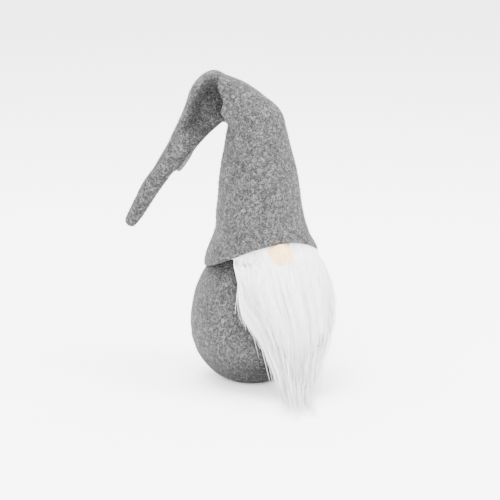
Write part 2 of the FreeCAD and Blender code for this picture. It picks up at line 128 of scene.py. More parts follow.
# The beard's outer surface: height, centre in X and Y, half width in X and Y.
BEARD_SHAPE = [
    (0.0, -1.0, -64.0, 10.0, 8.0), (4.0, 1.0, -61.0, 13.0, 10.0), (20.0, 6.0, -50.0, 19.0, 15.0),
    (41.0, 10.5, -39.0, 28.0, 22.0), (62.0, 9.0, -29.0, 34.5, 29.0),
    (84.0, 6.0, -24.0, 36.0, 29.0), (91.0, 5.5, -23.0, 35.5, 28.5),
    (96.5, 4.5, -22.0, 34.0, 28.0), (104.0, 5.0, -21.0, 30.0, 26.5),
    (114.0, 5.0, -20.0, 27.0, 24.0),
]
BEARD_LENGTH = 120.0
PATCH_BOTTOM = 58.0
GROUND_WAY = Vector((-0.45, -0.89, 0))
SIDE_TURN = math.radians(98)
STRAND_COUNT = 12000
# Hair lies at least this far off the sack, and its thickest part this far off the floor.
SACK_CLEARANCE = 1.2
FLOOR_CLEARANCE = 0.35
BACK_SLANT = 0.28
# The hair parts round the bead: how deep, how wide, and how far to the gnome's right.
PARTING_DEPTH = 9.5
PARTING_WIDTH = 14.0
PARTING_SHIFT = 4.0
# The free length of a hair from the top row, how much of it a lower row loses, how much the
# gnome's right side is cut back by, and the shortest hair.
TOP_ROW_LENGTH = 104
ROW_LOSS = 46
RIGHT_CUT = 62
SHORTEST_HAIR = 12.0
STRAND_POINTS = 10
STRAND_PIECES = 4
GUIDE_COUNT = 420


# ------------------------------------------------------------------ numbers

def smooth(table, column):
    """A smooth function through one column of a table whose first column is its place."""
    places = np.array([row[0] for row in table], float)
    values = np.array([row[column] for row in table], float)
    slopes = np.gradient(values, places)

    def at(place):
        place = np.clip(np.asarray(place, float), places[0], places[-1])
        index = np.clip(np.searchsorted(places, place, side="right") - 1, 0, len(places) - 2)
        width = places[index + 1] - places[index]
        t = (place - places[index]) / width
        return (
            (2 * t ** 3 - 3 * t ** 2 + 1) * values[index]
            + (t ** 3 - 2 * t ** 2 + t) * width * slopes[index]
            + (3 * t ** 2 - 2 * t ** 3) * values[index + 1]
            + (t ** 3 - t ** 2) * width * slopes[index + 1]
        )
    return at


def ease(value, low, high):
    """0 below low, 1 above high, and smooth between them."""
    t = np.clip((np.asarray(value, float) - low) / (high - low), 0, 1)
    return t * t * (3 - 2 * t)


def bend_direction(angle):
    """A unit vector in the bend plane, angle degrees up from the horizontal."""
    return math.cos(math.radians(angle)) * ACROSS + math.sin(math.radians(angle)) * UP


def sack_radius(height):
    """The sack's outer radius, in millimetres, at a height on its side or crown."""
    height = np.asarray(height, float)
    lower = BELLY_RADIUS - LOWER_CURVE + np.sqrt(
        np.maximum(LOWER_CURVE ** 2 - (height - BELLY_HEIGHT) ** 2, 0))
    upper = BELLY_RADIUS - UPPER_CURVE + np.sqrt(
        np.maximum(UPPER_CURVE ** 2 - (height - BELLY_HEIGHT) ** 2, 0))
    return np.maximum(np.where(height < BELLY_HEIGHT, lower, upper), NECK_RADIUS)


def brim_at(y):
    """The brim's height, in millimetres, where it stands y behind the axis."""
    y = np.asarray(y, float)
    return BRIM_HEIGHT - np.sqrt(np.maximum(BRIM_CURVE ** 2 - (y - BRIM_BACK) ** 2, 0))


# ------------------------------------------------------------------ meshes

def add_object(name, vertices, faces, material):
    """A smooth-shaded mesh object, whose rest position is kept for its material."""
    mesh = bpy.data.meshes.new(name)
    mesh.from_pydata([tuple(v) for v in vertices], [], [tuple(f) for f in faces])
    mesh.update()
    obj = bpy.data.objects.new(name, mesh)
    bpy.context.scene.collection.objects.link(obj)
    obj.data.materials.append(material)
    keep_rest(obj)
    return obj


def keep_rest(obj):
    """Stores where each point is at rest, so that a pattern stays on it when it bends."""
    mesh = obj.data
    mesh.shade_smooth()
    rest = mesh.attributes.get("rest") or mesh.attributes.new("rest", "FLOAT_VECTOR", "POINT")
    places = np.empty(len(mesh.vertices) * 3, np.float32)
    mesh.vertices.foreach_get("co", places)
    rest.data.foreach_set("vector", places)


def ring_faces(rows, around):
    """The quads of a tube of that many rings."""
    faces = []
    for row in range(rows - 1):
        for step in range(around):
            after = (step + 1) % around
            faces.append((
                row * around + step, row * around + after,
                (row + 1) * around + after, (row + 1) * around + step,
            ))
    return faces


def apply_modifier(obj, modifier):
    """Makes a modifier's result the object's mesh."""
    with bpy.context.temp_override(object=obj, active_object=obj, selected_objects=[obj]):
        bpy.ops.object.modifier_apply(modifier=modifier.name)


def subdivide(obj, levels):
    """Rounds the mesh with a subdivision surface."""
    modifier = obj.modifiers.new("round", "SUBSURF")
    modifier.levels = levels
    apply_modifier(obj, modifier)


def thicken(obj, thickness):
    """Gives a sheet its thickness, inwards from the modelled side."""
    modifier = obj.modifiers.new("thickness", "SOLIDIFY")
    modifier.thickness = thickness
    modifier.offset = -1
    modifier.use_even_offset = True
    apply_modifier(obj, modifier)


def displace(obj, move):
    """Moves every vertex by what move gives for its place and its normal."""
    mesh = obj.data
    normals = [v.normal.copy() for v in mesh.vertices]
    for vertex, normal in zip(mesh.vertices, normals):
        vertex.co += move(vertex.co, normal)
    mesh.update()


def unevenness(place, normal, height, size):
    """Soft hand-made waves across the felt."""
    value = noise.noise(place / size) + 0.5 * noise.noise(place / (0.45 * size))
    return normal * height * value


def tubes(name, paths, radii, sides, material, shades):
    """Many thin closed tubes in one mesh. paths is strands x points x 3 and radii matches it."""
    count, points, _ = paths.shape
    tangent = np.gradient(paths, axis=1)
    tangent /= np.linalg.norm(tangent, axis=2, keepdims=True) + 1e-12
    helper = np.array([0.31, 0.23, 0.92])
    side = np.cross(tangent, helper)
    side /= np.linalg.norm(side, axis=2, keepdims=True) + 1e-12
    other = np.cross(tangent, side)
    turns = 2 * np.pi * np.arange(sides) / sides
    ring = (
        np.cos(turns)[None, None, :, None] * side[:, :, None, :]
        + np.sin(turns)[None, None, :, None] * other[:, :, None, :]
    )
    vertices = (paths[:, :, None, :] + radii[:, :, None, None] * ring).reshape(-1, 3)
    quads = np.array(ring_faces(points, sides))
    starts = (np.arange(count) * points * sides)[:, None, None]
    walls = (quads[None] + starts).reshape(-1, 4)
    first = np.arange(sides)[::-1]
    last = (points - 1) * sides + np.arange(sides)
    caps = (np.stack([first, last])[None] + starts).reshape(-1, sides)
    obj = add_object(name, vertices.tolist(), walls.tolist() + caps.tolist(), material)
    shade = obj.data.attributes.new("shade", "FLOAT", "POINT")
    shade.data.foreach_set("value", np.repeat(shades, points * sides).astype(np.float32))
    return obj


# ------------------------------------------------------------------ materials

def new_material(name):
    """A node material and its Principled shader."""
    material = bpy.data.materials.new(name)
    material.use_nodes = True
    return material, material.node_tree, material.node_tree.nodes["Principled BSDF"]


def noise_node(tree, vector, scale, detail=3.0, roughness=0.6, distortion=0.0):
    """A noise texture read at that vector."""
    node = tree.nodes.new("ShaderNodeTexNoise")
    node.inputs["Scale"].default_value = scale
    node.inputs["Detail"].default_value = detail
    node.inputs["Roughness"].default_value = roughness
    node.inputs["Distortion"].default_value = distortion
    tree.links.new(vector, node.inputs["Vector"])
    return node.outputs["Fac"]


def math_node(tree, operation, first, second):
    """A math node on two sockets or numbers."""
    node = tree.nodes.new("ShaderNodeMath")
    node.operation = operation
    for socket, value in zip(node.inputs, (first, second)):
        if isinstance(value, (int, float)):
            socket.default_value = value
        else:
            tree.links.new(value, socket)
    return node.outputs[0]


def ramp_node(tree, factor, stops):
    """A colour ramp: stops are (place, colour)."""
    node = tree.nodes.new("ShaderNodeValToRGB")
    while len(node.color_ramp.elements) < len(stops):
        node.color_ramp.elements.new(1.0)
    for element, (place, colour) in zip(node.color_ramp.elements, stops):
        element.position = place
        element.color = (*colour, 1.0)
    tree.links.new(factor, node.inputs["Fac"])
    return node.outputs["Color"]


def bump_node(tree, height, strength, distance, principled):
    """Bumps the shader by a height socket."""
    node = tree.nodes.new("ShaderNodeBump")
    node.inputs["Strength"].default_value = strength
    node.inputs["Distance"].default_value = distance
    tree.links.new(height, node.inputs["Height"])
    tree.links.new(node.outputs["Normal"], principled.inputs["Normal"])


def rest_vector(tree, kept):
    """The kept rest position, or the object's own coordinates."""
    if kept:
        node = tree.nodes.new("ShaderNodeAttribute")
        node.attribute_name = "rest"
        return node.outputs["Vector"]
    node = tree.nodes.new("ShaderNodeTexCoord")
    return node.outputs["Object"]


def felt_material(name, dark, light, kept=True):
    """Wool felt: mottled fibres in several sizes, darkened in its folds and creases by painted
    shade, with a matted bump.
    """
    material, tree, principled = new_material(name)
    vector = rest_vector(tree, kept)
    fibres = noise_node(tree, vector, 1050.0, 3.0, 0.7, 0.35)
    tufts = noise_node(tree, vector, 430.0, 3.0, 0.6, 0.5)
    clouds = noise_node(tree, vector, 95.0, 2.0, 0.5)
    mixed = math_node(tree, "MULTIPLY", fibres, 0.55)
    mixed = math_node(tree, "ADD", mixed, math_node(tree, "MULTIPLY", tufts, 0.37))
    mixed = math_node(tree, "ADD", mixed, math_node(tree, "MULTIPLY", clouds, 0.08))
    middle = [math.sqrt(a * b) for a, b in zip(dark, light)]
    colour = ramp_node(tree, mixed, [(0.38, dark), (0.50, middle), (0.62, light)])
    # Painted shade: ambient occlusion darkens the felt's colour in folds, creases and the gaps
    # between parts.
    painted_fold_shade = tree.nodes.new("ShaderNodeAmbientOcclusion")
    painted_fold_shade.samples = 6
    painted_fold_shade.inputs["Distance"].default_value = 0.03
    tree.links.new(colour, painted_fold_shade.inputs["Color"])
    shaded = tree.nodes.new("ShaderNodeMix")
    shaded.data_type = "RGBA"
    shaded.blend_type = "MULTIPLY"
    shaded.inputs["Factor"].default_value = 0.75
    tree.links.new(colour, shaded.inputs["A"])
    tree.links.new(math_node(tree, "POWER", painted_fold_shade.outputs["AO"], 1.6), shaded.inputs["B"])
    tree.links.new(shaded.outputs["Result"], principled.inputs["Base Color"])
    rough = ramp_node(tree, fibres, [(0.3, (0.82,) * 3), (0.7, (1.0,) * 3)])
    tree.links.new(rough, principled.inputs["Roughness"])
    principled.inputs["Specular IOR Level"].default_value = 0.12
    principled.inputs["Sheen Weight"].default_value = 0.05
    principled.inputs["Sheen Roughness"].default_value = 0.5
    bump_node(tree, mixed, 0.7, 0.0011, principled)
    return material


def strand_material(name, dark, light, roughness, sheen):
    """Fine hairs: each has its own shade, and lightens and darkens along its length."""
    material, tree, principled = new_material(name)
    shade = tree.nodes.new("ShaderNodeAttribute")
    shade.attribute_name = "shade"
    streaks = noise_node(tree, rest_vector(tree, True), 140.0, 2.0)
    mixed = math_node(tree, "ADD", math_node(tree, "MULTIPLY", shade.outputs["Fac"], 0.7),
                      math_node(tree, "MULTIPLY", streaks, 0.3))
    colour = ramp_node(tree, mixed, [(0.15, dark), (0.8, light)])
    tree.links.new(colour, principled.inputs["Base Color"])
    principled.inputs["Roughness"].default_value = roughness
    principled.inputs["Specular IOR Level"].default_value = 0.3
    principled.inputs["Sheen Weight"].default_value = sheen
    return material


def combed_material():
    """The fur's inner mass: white, with streaks that run down the hair."""
    material, tree, principled = new_material("combed_fur")
    stretch = tree.nodes.new("ShaderNodeVectorMath")
    stretch.operation = "MULTIPLY"
    stretch.inputs[1].default_value = (1.0, 1.0, 0.06)
    tree.links.new(rest_vector(tree, True), stretch.inputs[0])
    streaks = noise_node(tree, stretch.outputs["Vector"], 900.0, 4.0, 0.65, 0.4)
    colour = ramp_node(tree, streaks, [(0.3, (0.72, 0.71, 0.70)), (0.6, (0.93, 0.93, 0.92))])
    tree.links.new(colour, principled.inputs["Base Color"])
    principled.inputs["Roughness"].default_value = 0.6
    principled.inputs["Sheen Weight"].default_value = 0.3
    bump_node(tree, streaks, 0.9, 0.0012, principled)
    return material


def wood_material():
    """A pale turned bead: fine growth lines, short pores and a thin satin finish."""
    material, tree, principled = new_material("bead_birch")
    vector = rest_vector(tree, True)
    stretch = tree.nodes.new("ShaderNodeVectorMath")
    stretch.operation = "MULTIPLY"
    stretch.inputs[1].default_value = (1.0, 1.0, 0.12)
    tree.links.new(vector, stretch.inputs[0])
    grain = noise_node(tree, stretch.outputs["Vector"], 420.0, 5.0, 0.6, 0.5)
    pores = noise_node(tree, stretch.outputs["Vector"], 1900.0, 2.0, 0.5)
    blush = noise_node(tree, vector, 70.0, 2.0)
    mixed = math_node(tree, "ADD", math_node(tree, "MULTIPLY", grain, 0.55),
                      math_node(tree, "MULTIPLY", blush, 0.45))
    colour = ramp_node(tree, mixed, [
        (0.35, (0.62, 0.34, 0.15)), (0.5, (0.78, 0.51, 0.24)), (0.65, (0.86, 0.64, 0.33))])
    tree.links.new(colour, principled.inputs["Base Color"])
    rough = ramp_node(tree, pores, [(0.35, (0.55,) * 3), (0.65, (0.38,) * 3)])
    tree.links.new(rough, principled.inputs["Roughness"])
    principled.inputs["Coat Weight"].default_value = 0.15
    principled.inputs["Coat Roughness"].default_value = 0.3
    bump_node(tree, pores, 0.12, 0.0003, principled)
    return material


def plain_material(name, dark, light, scale, roughness, metallic=0.0):
    """An inner material: two close tones in a fine mottle, with a matching bump."""
    material, tree, principled = new_material(name)
    grain = noise_node(tree, rest_vector(tree, False), scale, 4.0, 0.65)
    tree.links.new(ramp_node(tree, grain, [(0.35, dark), (0.65, light)]),
                   principled.inputs["Base Color"])
    principled.inputs["Roughness"].default_value = roughness
    principled.inputs["Metallic"].default_value = metallic
    bump_node(tree, grain, 0.3, 0.0004, principled)
    return material


FELT_DARK = (0.009, 0.009, 0.0092)
FELT_LIGHT = (0.13, 0.13, 0.13)
felt_grey = felt_material("grey_felt_wool", FELT_DARK, FELT_LIGHT)
felt_edge = felt_material("cut_felt_edge", (0.03, 0.03, 0.03), (0.17, 0.17, 0.17))
fuzz_grey = strand_material("felt_fibres", (0.01, 0.01, 0.01), (0.22, 0.22, 0.22), 0.9, 0.1)
fur_white = strand_material("white_fur", (0.80, 0.79, 0.78), (0.96, 0.96, 0.95), 0.5, 0.4)
fur_mass = combed_material()
bead_wood = wood_material()
thread_grey = strand_material("grey_thread_ply", (0.03, 0.03, 0.03), (0.10, 0.10, 0.10), 0.7, 0.1)

INNER = {
    "card": plain_material("card_fibre", (0.45, 0.36, 0.26), (0.60, 0.50, 0.38), 700, 0.9),
    "bag_cloth": plain_material("bag_calico", (0.72, 0.70, 0.63), (0.86, 0.84, 0.78), 1500, 0.9),
    "ballast": plain_material("ballast_sand", (0.45, 0.39, 0.30), (0.75, 0.69, 0.58), 1200, 0.85),
    "fibrefill": plain_material("fibrefill_fluff", (0.80,) * 3, (0.95,) * 3, 300, 1.0),
    "glue": plain_material("set_glue", (0.80, 0.78, 0.70), (0.88, 0.86, 0.80), 120, 0.35),
    "fur_backing": plain_material("fur_knit", (0.70, 0.69, 0.66), (0.86, 0.85, 0.82), 1400, 0.9),
    "wire": plain_material("annealed_wire", (0.35, 0.35, 0.36), (0.55, 0.55, 0.56), 500, 0.4, 1.0),
    "grey_felt": felt_material("inner_felt", FELT_DARK, FELT_LIGHT, kept=False),
    "grey_thread": plain_material("inner_thread", (0.10,) * 3, (0.22,) * 3, 2500, 0.8),
}


def finish_cad_nodes():
    """Gives every CAD node a finished material, by its slot in the record."""
    for part in frame["record"]["subparts"]:
        finish = INNER.get(part["material_slot"])
        node = frame["nodes"].get(part["node"])
        if finish and node:
            for slot in node.material_slots:
                slot.material = finish


# ------------------------------------------------------------------ body

def sack_outline():
    """Points (radius, height) up the sack, in millimetres."""
    low = -math.asin(BELLY_HEIGHT / LOWER_CURVE)
    dome = np.array([BELLY_RADIUS - UPPER_CURVE, BELLY_HEIGHT]) + (UPPER_CURVE - CROWN_CURVE) * (
        np.array([math.cos(CROWN_ANGLE), math.sin(CROWN_ANGLE)]))
    last = math.acos((NECK_RADIUS - dome[0]) / CROWN_CURVE)
    points = [(radius, 0.0) for radius in np.linspace(2.0, 18.0, 7)]
    for angle in np.linspace(low, 0, 24, endpoint=False):
        points.append((BELLY_RADIUS - LOWER_CURVE + LOWER_CURVE * math.cos(angle),
                       BELLY_HEIGHT + LOWER_CURVE * math.sin(angle)))
    for angle in np.linspace(0, CROWN_ANGLE, 16, endpoint=False):
        points.append((BELLY_RADIUS - UPPER_CURVE + UPPER_CURVE * math.cos(angle),
                       BELLY_HEIGHT + UPPER_CURVE * math.sin(angle)))
    for angle in np.linspace(CROWN_ANGLE, last, 12):
        points.append((dome[0] + CROWN_CURVE * math.cos(angle),
                       dome[1] + CROWN_CURVE * math.sin(angle)))
    points.append((NECK_RADIUS, NECK_TOP))
    points.append((2.0, NECK_TOP))
    return points


def make_sack():
    """The closed sack, as cut and sewn, before it is filled."""
    around = 84
    outline = sack_outline()
    vertices = []
    for radius, height in outline:
        for step in range(around):
            angle = 2 * math.pi * step / around
            vertices.append((radius * MM * math.cos(angle), radius * MM * math.sin(angle),
                             height * MM))
    faces = ring_faces(len(outline), around)
    faces.append(tuple(range(around))[::-1])
    faces.append(tuple((len(outline) - 1) * around + step for step in range(around)))
    return add_object("felt_body", vertices, faces, felt_grey)


def fill_sack(obj):
    """Swells the sack with a cloth simulation, held at its base and its neck."""
    remesh = obj.modifiers.new("remesh", "REMESH")
    remesh.mode = "VOXEL"
    remesh.voxel_size = 3.0 * MM
    apply_modifier(obj, remesh)
    before = [vertex.co.copy() for vertex in obj.data.vertices]
    held = obj.vertex_groups.new(name="held")
    for vertex in obj.data.vertices:
        if vertex.co.z < 1.5 * MM or vertex.co.z > 94 * MM:
            held.add([vertex.index], 1.0, "REPLACE")
    cloth = obj.modifiers.new("filling", "CLOTH")
    cloth.settings.use_pressure = True
    cloth.settings.uniform_pressure_force = 4.0
    cloth.settings.vertex_group_mass = "held"
    cloth.settings.bending_stiffness = 2.0
    cloth.settings.effector_weights.gravity = 0.0
    scene = bpy.context.scene
    scene.frame_start, scene.frame_end = 1, 20
    for step in range(1, 21):
        scene.frame_set(step)
    apply_modifier(obj, cloth)
    scene.frame_set(1)
    obj.vertex_groups.clear()
    most = 1.5 * MM
    for vertex, start in zip(obj.data.vertices, before):
        move = vertex.co - start
        if move.length > most:
            vertex.co = start + move * (most / move.length)
        vertex.co.z = max(vertex.co.z, 0.0)
    obj.data.update()


def shape_sack(obj):
    """Sets the waves of the felt and the pull of the back seam."""
    def move(place, normal):
        if place.z < 1 * MM:
            return Vector((0, 0, max(-place.z, 0.0)))
        shift = unevenness(place, normal, 0.5 * MM, 16 * MM) * float(ease(place.z / MM, 1, 4))
        if place.y > 0 and 3 * MM < place.z < 92 * MM:
            pull = math.exp(-((place.x / (2.2 * MM)) ** 2))
            between = 0.75 + 0.25 * math.cos(2 * math.pi * place.z / (5.0 * MM))
            shift -= normal * pull * between * 1.1 * MM
        return shift
    displace(obj, move)


def body():
    """The felt sack with its seam stitches and surface fibres."""
    sack = make_sack()
    fill_sack(sack)
    subdivide(sack, 1)
    shape_sack(sack)
    keep_rest(sack)
    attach(sack, "root")
    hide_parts("body_felt")

    tree = surface_tree(sack)
    crossings = []
    for height in np.arange(6.0, 88.0, 5.0).tolist():
        place = Vector((0, 60 * MM, height * MM))
        crossings.append(on_surface(tree, place, Vector((0, -1, 0))))
    stitches = stitch_row("body_back_stitches", crossings, Vector((1, 0, 0)), tree, 2.6)
    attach(stitches, "root")
    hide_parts("body_seam_stitches")
    fuzz = surface_fuzz("body_fibres", sack, 8500, 21)
    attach(fuzz, "root")
    return sack


# ------------------------------------------------------------------ threads and fibres

def surface_tree(obj):
    """A search tree of the mesh as it stands."""
    grid = bmesh.new()
    grid.from_mesh(obj.data)
    tree = BVHTree.FromBMesh(grid)
    grid.free()
    return tree


def on_surface(tree, place, direction):
    """Where a ray meets the surface, or the nearest place on it."""
    hit = tree.ray_cast(place, direction)[0]
    return hit if hit else tree.find_nearest(place)[0]


def stitch_row(name, places, direction, tree, half_length):
    """Stitches laid over a seam at those places, each bowed over it and sunk at its ends."""
    steps = np.linspace(-1, 1, 9)
    paths = []
    radii = []
    for place in places:
        path = []
        for step in steps:
            wanted = place + direction * step * half_length * MM
            near, normal, _, _ = tree.find_nearest(wanted)
            lift = 0.15 * (1 - step ** 2) - 0.35 * step ** 4
            path.append(near + normal * lift * MM)
        paths.append([tuple(point) for point in path])
        radii.append([0.34 * MM] * len(steps))
    shades = np.linspace(0.2, 0.9, len(paths))
    return tubes(name, np.array(paths), np.array(radii), 8, thread_grey, shades)


def surface_fuzz(name, source, count, seed, longest=2.0):
    """Short loose fibres that lie on felt and stand off its outline."""
    rng = np.random.default_rng(seed)
    mesh = source.data
    mesh.calc_loop_triangles()
    corners = np.array([v.co[:] for v in mesh.vertices])
    index = np.array([t.vertices[:] for t in mesh.loop_triangles])
    a, b, c = corners[index[:, 0]], corners[index[:, 1]], corners[index[:, 2]]
    normal = np.cross(b - a, c - a)
    area = np.linalg.norm(normal, axis=1)
    chosen = rng.choice(len(area), count, p=area / area.sum())
    u, v = rng.random((2, count, 1))
    flip = (u + v) > 1
    u, v = np.where(flip, 1 - u, u), np.where(flip, 1 - v, v)
    root = a[chosen] + u * (b - a)[chosen] + v * (c - a)[chosen]
    out = normal[chosen] / area[chosen][:, None]
    along = rng.normal(size=(count, 3))
    along -= (along * out).sum(1, keepdims=True) * out
    along /= np.linalg.norm(along, axis=1, keepdims=True)
    turned = np.cross(out, along)
    length = rng.uniform(0.7, longest, (count, 1)) * MM
    rise = rng.uniform(0.05, 0.55, (count, 1))
    curl = rng.uniform(-0.7, 0.7, (count, 1))
    points = []
    for step in (0.0, 0.35, 0.7, 1.0):
        lift = 0.10 * MM + rise * length * math.sin(1.9 * step)
        points.append(root + along * length * step + turned * curl * length * step ** 2
                      + out * (lift - 0.18 * MM * (step == 0.0)))
    paths = np.stack(points, axis=1)
    paths[..., 2] = np.maximum(paths[..., 2], 0.1 * MM)
    radii = np.ones((count, 4)) * np.array([0.05, 0.045, 0.035, 0.012]) * MM
    return tubes(name, paths, radii, 3, fuzz_grey, rng.random(count))


# ------------------------------------------------------------------ hat

def cone_ring(share, around):
    """One ring of the cone: share runs from 0 at the brim to 1 under the fold."""
    columns = [smooth(cone_table(), column) for column in range(1, 5)]
    top = CREASE.z / MM
    points = []
    for step in range(around):
        angle = 2 * math.pi * step / around
        height = 95.0
        for _ in range(6):
            y = columns[1](height) + columns[3](height) * math.sin(angle)
            droop = 2.6 * float(ease(math.cos(angle + math.radians(62)), 0.0, 0.8))
            bottom = float(brim_at(y)) + 0.6 * math.sin(3 * angle + 0.8) - droop
            height = bottom + share * (top - bottom)
        corner = 3.2 * max(math.cos(angle + math.radians(26)), 0.0) ** 6
        flare = (0.3 + corner) * (1 - float(ease(height - bottom, 0, 15)))
        x = columns[0](height) + (columns[2](height) + flare) * math.cos(angle)
        y = columns[1](height) + (columns[3](height) + flare) * math.sin(angle)
        points.append(Vector((x, y, height)) * MM)
    return points


def cone_table():
    """The cone's sections with the one where the fold begins."""
    centre = CREASE / MM + (CREASE_GAP + CONE_TOP_RADIUS) * ACROSS
    top = (centre.z, centre.x, centre.y, CONE_TOP_RADIUS, CONE_TOP_RADIUS)
    return CONE_SECTIONS + [top]


def fold_ring(angle, reach, half_depth, around, front=1.0):
    """One ring of the fold, standing on the crease at that angle."""
    half = 0.5 * (reach - CREASE_GAP)
    direction = bend_direction(angle)
    centre = CREASE + (CREASE_GAP + half) * MM * direction
    turn = math.atan2(ACROSS.y, ACROSS.x)
    points = []
    for step in range(around):
        around_angle = 2 * math.pi * step / around - turn
        inward, deep = math.cos(around_angle), math.sin(around_angle)
        if deep < 0:
            deep *= front(inward) if callable(front) else front
        points.append(centre + MM * (half * inward * direction + half_depth * deep * DEPTH))
    return points


def hat_cone():
    """The upright felt, from the raw brim to the crease, where its edge turns in."""
    around = 96
    rings = [cone_ring(share, around) for share in np.linspace(0, 1, 42)[:-1].tolist()]
    reach, depth = smooth(SHOULDER, 1), smooth(SHOULDER, 2)
    for angle in np.linspace(0, 95, 20).tolist():
        ring = fold_ring(angle, float(reach(angle)), float(depth(angle)), around)
        along = bend_direction(angle + 90) * MM * 1.3 * float(ease(angle, 60, 95))
        rings.append([
            point + along * math.sin(0.42 * (point - CREASE).length / MM) for point in ring])
    vertices = [point for ring in rings for point in ring]
    cone = add_object("felt_hat_cone", vertices, ring_faces(len(rings), around), felt_grey)
    seam = -1 * ACROSS

    def move(place, normal):
        shift = unevenness(place, normal, 0.7 * MM, 22 * MM)
        flat = Vector((place.x, place.y, 0)).normalized()
        off = math.sqrt(max(0.0, 1 - max(flat.dot(seam), 0.0) ** 2)) * 30
        if flat.dot(seam) > 0 and place.z < CREASE.z:
            shift -= normal * 0.8 * MM * math.exp(-((off / 1.6) ** 2))
        return shift
    displace(cone, move)
    thicken(cone, FELT * MM)
    subdivide(cone, 1)
    keep_rest(cone)
    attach(cone, "root")
    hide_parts("hat_cone_felt", "hat_fold_felt")
    fuzz = surface_fuzz("hat_cone_fibres", cone, 9500, 22)
    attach(fuzz, "root")

    tree = surface_tree(cone)
    places = []
    for height in np.arange(90.0, 184.0, 5.0).tolist():
        start = Vector((3.5 * MM, -5 * MM, height * MM)) + 60 * MM * seam
        places.append(on_surface(tree, start, -1 * seam))
    stitches = stitch_row("hat_cone_seam_stitches", places, DEPTH, tree, 2.2)
    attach(stitches, "root")
    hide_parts("hat_cone_stitches")
    return cone


def pocket(strength):
    """How far the front of the fold has caved in: 1 is round, below 0 is past the middle."""
    def front(inward):
        ridge = float(ease(inward, 0.15, 1.0))
        return 1.0 - strength * (1 - ridge)
    return front


def tail_ring(place, around, front=1.0):
    """One ring of the tail, square to its centre line."""
    radius = float(smooth(TAIL_SHAPE, 2)(place))
    shift = float(smooth(TAIL_SHAPE, 1)(place))
    centre = FOLD_AXIS + MM * (TAIL * float(place) + TAIL_OUT * shift)
    turn = math.atan2(ACROSS.y, ACROSS.x)
    points = []
    for step in range(around):
        angle = 2 * math.pi * step / around - turn
        outward, deep = math.cos(angle), math.sin(angle)
        if deep < 0:
            deep *= front(outward) if callable(front) else front
        points.append(centre + MM * radius * (outward * TAIL_OUT + 0.92 * deep * DEPTH))
    return points


def hat_tail():
    """The tail: caved in where it leaves the fold, then a tight roll with a rounded tip."""
    around = 64
    rings = []
    reach, depth = smooth(KNEE, 1), smooth(KNEE, 2)
    for angle in np.linspace(KNEE[0][0], KNEE[-1][0] - 4, 20).tolist():
        rings.append(fold_ring(angle, float(reach(angle)), float(depth(angle)), around,
                               pocket(1.45)))
    for place in np.linspace(TAIL_START + 2, 107.0, 64).tolist():
        fade = 1.45 * (1 - float(ease(place, 16, 40)))
        rings.append(tail_ring(place, around, pocket(fade)))
    last = rings[-1]
    centre = sum(last, Vector()) / around
    for turn in (0.35, 0.7, 1.0, 1.25, 1.45):
        shrink, along = math.cos(turn), math.sin(turn)
        rings.append([centre + (point - centre) * shrink + TAIL * 4.0 * MM * along
                      for point in last])
    vertices = [point for ring in rings for point in ring]
    faces = ring_faces(len(rings), around)
    faces.append(tuple(range(around))[::-1])
    faces.append(tuple((len(rings) - 1) * around + step for step in range(around)))
    tail = add_object("felt_hat_tail", vertices, faces, felt_grey)
    displace(tail, lambda place, normal: unevenness(place, normal, 0.45 * MM, 14 * MM))
    subdivide(tail, 1)
    keep_rest(tail)
    bend_with_tip(tail)
    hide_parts("hat_tail_felt", "hat_bend_felt", "hat_tip_felt")
    fuzz = surface_fuzz("hat_tail_fibres", tail, 3800, 23)
    bend_with_tip(fuzz)
    return tail


def bend_with_tip(piece):
    """Bakes a piece of the tail's placement into its mesh."""
    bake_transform(piece)


def tail_seam(tail):
    """The seam's raw edges along the inside of the tail, with its stitches."""
    tree = surface_tree(tail)
    inner = -1 * TAIL_OUT
    toward = (0.90 * inner - 0.44 * DEPTH).normalized()
    square = toward.cross(TAIL)
    steps = 26
    vertices = []
    for place in np.linspace(34.0, 57.5, steps).tolist():
        base = on_surface(tree, FOLD_AXIS + MM * (TAIL * place) + 40 * MM * toward, -1 * toward)
        stand = 2.3 * float(ease(place, 32, 50)) + 0.2
        for out, wide in ((-1.5, -1.1), (0.5, -1.15), (1.0, -0.8), (1.0, 0.8), (0.5, 1.15),
                          (-1.5, 1.1)):
            reach = out * stand if out > 0 else out
            vertices.append(base + MM * (reach * toward + wide * square))
    faces = ring_faces(steps, 6)
    faces.append(tuple(range(6))[::-1])
    faces.append(tuple((steps - 1) * 6 + step for step in range(6)))
    edge = add_object("hat_seam_edge", vertices, faces, felt_edge)
    subdivide(edge, 2)
    displace(edge, lambda place, normal: unevenness(place, normal, 0.25 * MM, 4 * MM))
    keep_rest(edge)
    bend_with_tip(edge)
    for name, node, first, last in (
            ("hat_tail_seam_stitches", "hat_tail_stitches", 33.0, 56.0),
            ("hat_tip_seam_stitches", "hat_tip_stitches", 67.0, 103.0)):
        places = [on_surface(tree, FOLD_AXIS + MM * place * TAIL + 40 * MM * inner, -1 * inner)
                  for place in np.arange(first, last, 4.0).tolist()]
        stitches = stitch_row(name, places, DEPTH, tree, 1.9)
        bend_with_tip(stitches)
        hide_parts(node)


# ------------------------------------------------------------------ face

